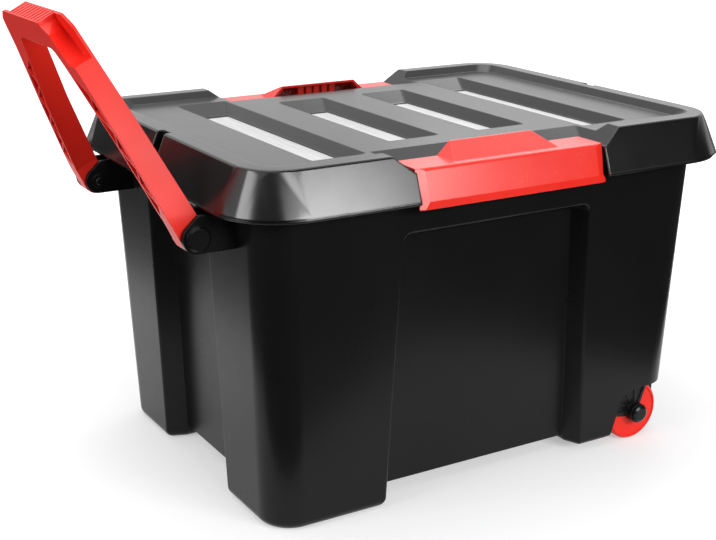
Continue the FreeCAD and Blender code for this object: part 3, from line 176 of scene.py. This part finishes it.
def milky():
    """Translucent white window strip with lengthwise streaks, and painted shade along its four edges where
    the opening's wall would shade it.
    """
    material, tree, shader = new_material("milky_window_look")
    where = tree.nodes.new("ShaderNodeTexCoord")
    stretch = tree.nodes.new("ShaderNodeMapping")
    stretch.inputs["Scale"].default_value = STREAK_STRETCH
    streaks = tree.nodes.new("ShaderNodeTexNoise")
    streaks.inputs["Scale"].default_value = 1.0
    streaks.inputs["Detail"].default_value = STREAK_DETAIL
    tree.links.new(where.outputs["Object"], stretch.inputs["Vector"])
    tree.links.new(stretch.outputs["Vector"], streaks.inputs["Vector"])
    dark_tone, light_tone = MILKY_TONES
    tone = blend(tree, streaks, dark_tone, light_tone)
    # Painted shade: a near-black band along both sides and both ends of the strip stands in for the shadow
    # of the opening's wall.
    gap_shade = tree.nodes.new("ShaderNodeMath")
    gap_shade.operation = "MAXIMUM"
    tree.links.new(painted_shade_band(tree, "X", SIDE_SHADE_MARGIN), gap_shade.inputs[0])
    tree.links.new(painted_shade_band(tree, "Y", END_SHADE_MARGIN), gap_shade.inputs[1])
    shaded_tone = tree.nodes.new("ShaderNodeMix")
    shaded_tone.data_type = "RGBA"
    shaded_tone.inputs["B"].default_value = (*PAINTED_GAP_SHADE, 1.0)
    tree.links.new(gap_shade.outputs["Value"], shaded_tone.inputs["Factor"])
    tree.links.new(tone, shaded_tone.inputs["A"])
    tree.links.new(shaded_tone.outputs["Result"], shader.inputs["Base Color"])
    shader.inputs["Subsurface Weight"].default_value = MILKY_SUBSURFACE
    shader.inputs["Subsurface Radius"].default_value = (MILKY_DEPTH, MILKY_DEPTH, MILKY_DEPTH)
    uneven_roughness(tree, shader, MILKY_PATCH_SCALE, MILKY_ROUGH)
    soft_edges(tree, shader, MILKY_EDGE, MILKY_GRAIN_SCALE, MILKY_GRAIN)
    return material


# Steel rods
STEEL_TONES = ((0.52, 0.52, 0.54), (0.66, 0.66, 0.68))
STEEL_DRIFT_SCALE = 120.0
STEEL_PATCH_SCALE = 500.0
STEEL_ROUGH = (0.22, 0.4)
STEEL_EDGE = 0.0004
STEEL_GRAIN = 0.00002


def steel():
    """Plain steel rod with fine uneven polish."""
    material, tree, shader = new_material("steel_rod_look")
    dark_tone, light_tone = STEEL_TONES
    drift = noise(tree, STEEL_DRIFT_SCALE, detail=2.0)
    tree.links.new(blend(tree, drift, dark_tone, light_tone), shader.inputs["Base Color"])
    shader.inputs["Metallic"].default_value = 1.0
    uneven_roughness(tree, shader, STEEL_PATCH_SCALE, STEEL_ROUGH, detail=4.0)
    soft_edges(tree, shader, STEEL_EDGE, GRAIN_SCALE, STEEL_GRAIN)
    return material


looks = {
    "black_moulding": moulded("black_moulding_look", BLACK, rough=(0.27, 0.29), edge_radius=0.0016,
                              grain_height=0.00001, specular=0.2),
    "black_lid": moulded("black_lid_look", BLACK, rough=(0.21, 0.23), edge_radius=0.0035,
                         grain_height=0.00001, specular=0.62),
    "black_trim": moulded("black_trim_look", TRIM_BLACK, rough=(0.24, 0.29), edge_radius=0.0008,
                          grain_height=0.00004, specular=0.24),
    "red_plastic": moulded("red_plastic_look", RED, rough=(0.25, 0.28), edge_radius=0.0012,
                           grain_height=0.00001, specular=0.66),
    "red_matte": moulded("red_matte_look", RED, rough=(0.34, 0.38), edge_radius=0.0010,
                         grain_height=0.00002, specular=0.25),
    "milky_window": milky(),
    "steel_rod": steel(),
}


# Dress the pieces
WELD_GAP = 0.00001
SPLIT_ANGLE = 0.28
FLAT_FACE_WEIGHT = 50


def smooth_shading(piece):
    """Join the faces of a solid, so that a curve runs into a flat face without a crease."""
    mesh = piece.data
    for name in ("custom_normal", "sharp_edge", "sharp_face"):
        if name in mesh.attributes:
            mesh.attributes.remove(mesh.attributes[name])
    weld = piece.modifiers.new("weld", "WELD")
    weld.merge_threshold = WELD_GAP
    split = piece.modifiers.new("split", "EDGE_SPLIT")
    split.split_angle = SPLIT_ANGLE
    shade = piece.modifiers.new("shade", "WEIGHTED_NORMAL")
    shade.mode = "FACE_AREA"
    shade.weight = FLAT_FACE_WEIGHT


own_looks = {
    "lid": "black_lid",
    "tow_handle": "red_matte",
    "wheel_front": "red_matte",
    "wheel_back": "red_matte",
}
for part in frame["record"]["subparts"]:
    piece = nodes[part["node"]]
    look = own_looks.get(part["node"], part["material_slot"])
    piece.data.materials.clear()
    piece.data.materials.append(looks[look])
    smooth_shading(piece)


# Floor and boards
FLOOR_COLOUR = (0.62, 0.62, 0.63)
FLOOR_ROUGH = 0.7
FLOOR_SPECULAR = 0.1
GLOW_START = 0.35
GLOW_FULL = 1.2
GLOW_NEAR = 0.42
GLOW_FAR = 0.92
FLOOR_FAR = 14.0
FRONT_EDGE = 1.28
FRONT_HALF = 0.48
FLOOR_SPREAD = 0.32
FAR_HALF = FRONT_HALF + FLOOR_SPREAD * FLOOR_FAR
BOARD_ROUGH = 0.9
BOARD_DEEP = 3.0
BOARD_HIGH = 2.6
BOARD_START = FRONT_EDGE - BOARD_DEEP
eye = Vector((-0.9166, -1.4567, 0.7609))
aim = Vector((-0.0420, 0.0251, 0.2149))
ahead = Vector((aim.x - eye.x, aim.y - eye.y, 0.0)).normalized()
aside = Vector((ahead.y, -ahead.x, 0.0))


def spot(forward, right, height=0.0):
    """A place given by its distance ahead of the camera and to the right of it."""
    return Vector((eye.x, eye.y, height)) + ahead * forward + aside * right


def plane(name, corners, material):
    mesh = bpy.data.meshes.new(name)
    mesh.from_pydata(corners, [], [(0, 1, 2, 3)])
    mesh.materials.append(material)
    sheet = bpy.data.objects.new(name, mesh)
    scene.collection.objects.link(sheet)
    return sheet


def upright(name, start, end, low, high, material):
    """Upright board above the line between two places on the floor."""
    return plane(name, [(*start, low), (*end, low), (*end, high), (*start, high)], material)


def backdrop_rays(tree):
    """One for the rays that show the backdrop: camera, glossy and transmission rays."""
    path = tree.nodes.new("ShaderNodeLightPath")
    first = tree.nodes.new("ShaderNodeMath")
    first.operation = "MAXIMUM"
    tree.links.new(path.outputs["Is Camera Ray"], first.inputs[0])
    tree.links.new(path.outputs["Is Glossy Ray"], first.inputs[1])
    second = tree.nodes.new("ShaderNodeMath")
    second.operation = "MAXIMUM"
    tree.links.new(first.outputs["Value"], second.inputs[0])
    tree.links.new(path.outputs["Is Transmission Ray"], second.inputs[1])
    return second.outputs["Value"]


def floor_look():
    """White floor that keeps its shadow by the box and turns to plain white further out."""
    material, tree, shader = new_material("studio_floor_look")
    shader.inputs["Base Color"].default_value = (*FLOOR_COLOUR, 1.0)
    shader.inputs["Roughness"].default_value = FLOOR_ROUGH
    shader.inputs["Specular IOR Level"].default_value = FLOOR_SPECULAR
    shader.inputs["Emission Color"].default_value = (1.0, 1.0, 1.0, 1.0)
    where = tree.nodes.new("ShaderNodeTexCoord")
    reach = tree.nodes.new("ShaderNodeVectorMath")
    reach.operation = "LENGTH"
    tree.links.new(where.outputs["Object"], reach.inputs[0])
    level = tree.nodes.new("ShaderNodeMapRange")
    level.interpolation_type = "SMOOTHSTEP"
    level.inputs["From Min"].default_value = GLOW_START
    level.inputs["From Max"].default_value = GLOW_FULL
    level.inputs["To Min"].default_value = GLOW_NEAR
    level.inputs["To Max"].default_value = GLOW_FAR
    tree.links.new(reach.outputs["Value"], level.inputs["Value"])
    glow = tree.nodes.new("ShaderNodeMath")
    glow.operation = "MULTIPLY"
    tree.links.new(backdrop_rays(tree), glow.inputs[0])
    tree.links.new(level.outputs["Result"], glow.inputs[1])
    tree.links.new(glow.outputs["Value"], shader.inputs["Emission Strength"])
    return material


def board_look(name, tone):
    material, _, shader = new_material(name)
    shader.inputs["Base Color"].default_value = (tone, tone, tone, 1.0)
    shader.inputs["Roughness"].default_value = BOARD_ROUGH
    return material


plane("studio_floor", [spot(FRONT_EDGE, -FRONT_HALF), spot(FRONT_EDGE, FRONT_HALF),
                       spot(FLOOR_FAR, FAR_HALF), spot(FLOOR_FAR, -FAR_HALF)], floor_look())
dark = board_look("dark_board_look", tone=0.03)
grey = board_look("grey_board_look", tone=0.1)

# The boards darken what the box reflects, and lid_board also keeps the front softboxes off the lid's top.
boards = [
    plane("front_floor_board", [spot(BOARD_START, -FLOOR_FAR), spot(BOARD_START, FLOOR_FAR),
                                spot(FRONT_EDGE, FLOOR_FAR), spot(FRONT_EDGE, -FLOOR_FAR)], dark),
    plane("front_wall_board", [spot(BOARD_START, -FLOOR_FAR), spot(BOARD_START, FLOOR_FAR),
                               spot(BOARD_START, FLOOR_FAR, BOARD_HIGH),
                               spot(BOARD_START, -FLOOR_FAR, BOARD_HIGH)], dark),
    plane("right_floor_board", [spot(FRONT_EDGE, FRONT_HALF), spot(FRONT_EDGE, FLOOR_FAR),
                                spot(FLOOR_FAR, FLOOR_FAR), spot(FLOOR_FAR, FAR_HALF)], dark),
    plane("left_floor_board", [spot(FRONT_EDGE, -FLOOR_FAR), spot(FRONT_EDGE, -FRONT_HALF),
                               spot(FLOOR_FAR, -FAR_HALF), spot(FLOOR_FAR, -FLOOR_FAR)], grey),
    upright("back_left_board", start=(-2.4, 1.1), end=(-0.9, 2.5), low=0.0, high=1.0, material=dark),
    upright("lid_board", start=(-0.31, -0.3), end=(0.62, -0.3), low=0.47, high=0.58, material=dark),
    upright("front_right_board", start=(1.25, -2.3), end=(2.8, -0.5), low=0.0, high=1.5, material=dark),
]
for board in boards:
    board.visible_camera = False


# World and lamps
SKY_LIGHT = 0.62
BACKDROP_WHITE = 1.0


def sky():
    """White for the rays that show the backdrop, and a softer light for the rest."""
    world = bpy.data.worlds.new("studio_world")
    scene.world = world
    world.use_nodes = True
    tree = world.node_tree
    tree.nodes.clear()
    output = tree.nodes.new("ShaderNodeOutputWorld")
    light = tree.nodes.new("ShaderNodeBackground")
    light.inputs["Color"].default_value = (1.0, 1.0, 1.0, 1.0)
    levels = tree.nodes.new("ShaderNodeMapRange")
    levels.inputs["To Min"].default_value = SKY_LIGHT
    levels.inputs["To Max"].default_value = BACKDROP_WHITE
    tree.links.new(backdrop_rays(tree), levels.inputs["Value"])
    tree.links.new(levels.outputs["Result"], light.inputs["Strength"])
    tree.links.new(light.outputs["Background"], output.inputs["Surface"])


def softbox(name, place, target, size, power):
    data = bpy.data.lights.new(name, "AREA")
    data.shape = "RECTANGLE"
    data.size, data.size_y = size
    data.energy = power
    lamp = bpy.data.objects.new(name, data)
    lamp.location = place
    lamp.rotation_euler = (Vector(target) - Vector(place)).to_track_quat("-Z", "Y").to_euler()
    scene.collection.objects.link(lamp)


sky()
softbox("softbox_right", place=(0.675, -2.25, 1.0), target=(-0.1, -0.24, 0.38), size=(0.75, 0.6), power=24.0)
softbox("softbox_front", place=(-0.2, -2.35, 1.15), target=(-0.3, -0.2, 0.4), size=(0.95, 0.55), power=20.0)
softbox("softbox_left", place=(-2.2, -0.2, 1.0), target=(0.0, 0.0, 0.3), size=(1.0, 1.0), power=22.0)
softbox("softbox_back", place=(1.5, 1.35, 1.6), target=(0.0, 0.0, 0.4), size=(1.2, 1.0), power=7.0)
softbox("softbox_top", place=(-0.2, 0.6, 2.5), target=(0.0, 0.0, 0.3), size=(2.0, 1.4), power=18.0)


# Camera
IMAGE_WIDTH = 716
FOCAL_PIXELS = 1348.28
SENSOR_WIDTH = 36.0
view = bpy.data.cameras.new("photo_view")
view.sensor_fit = "HORIZONTAL"
view.sensor_width = SENSOR_WIDTH
view.lens = SENSOR_WIDTH * FOCAL_PIXELS / IMAGE_WIDTH
camera = bpy.data.objects.new("photo_view", view)
camera.location = eye
camera.rotation_euler = (aim - eye).to_track_quat("-Z", "Y").to_euler()
scene.collection.objects.link(camera)
scene.camera = camera
scene.view_settings.view_transform = "Standard"
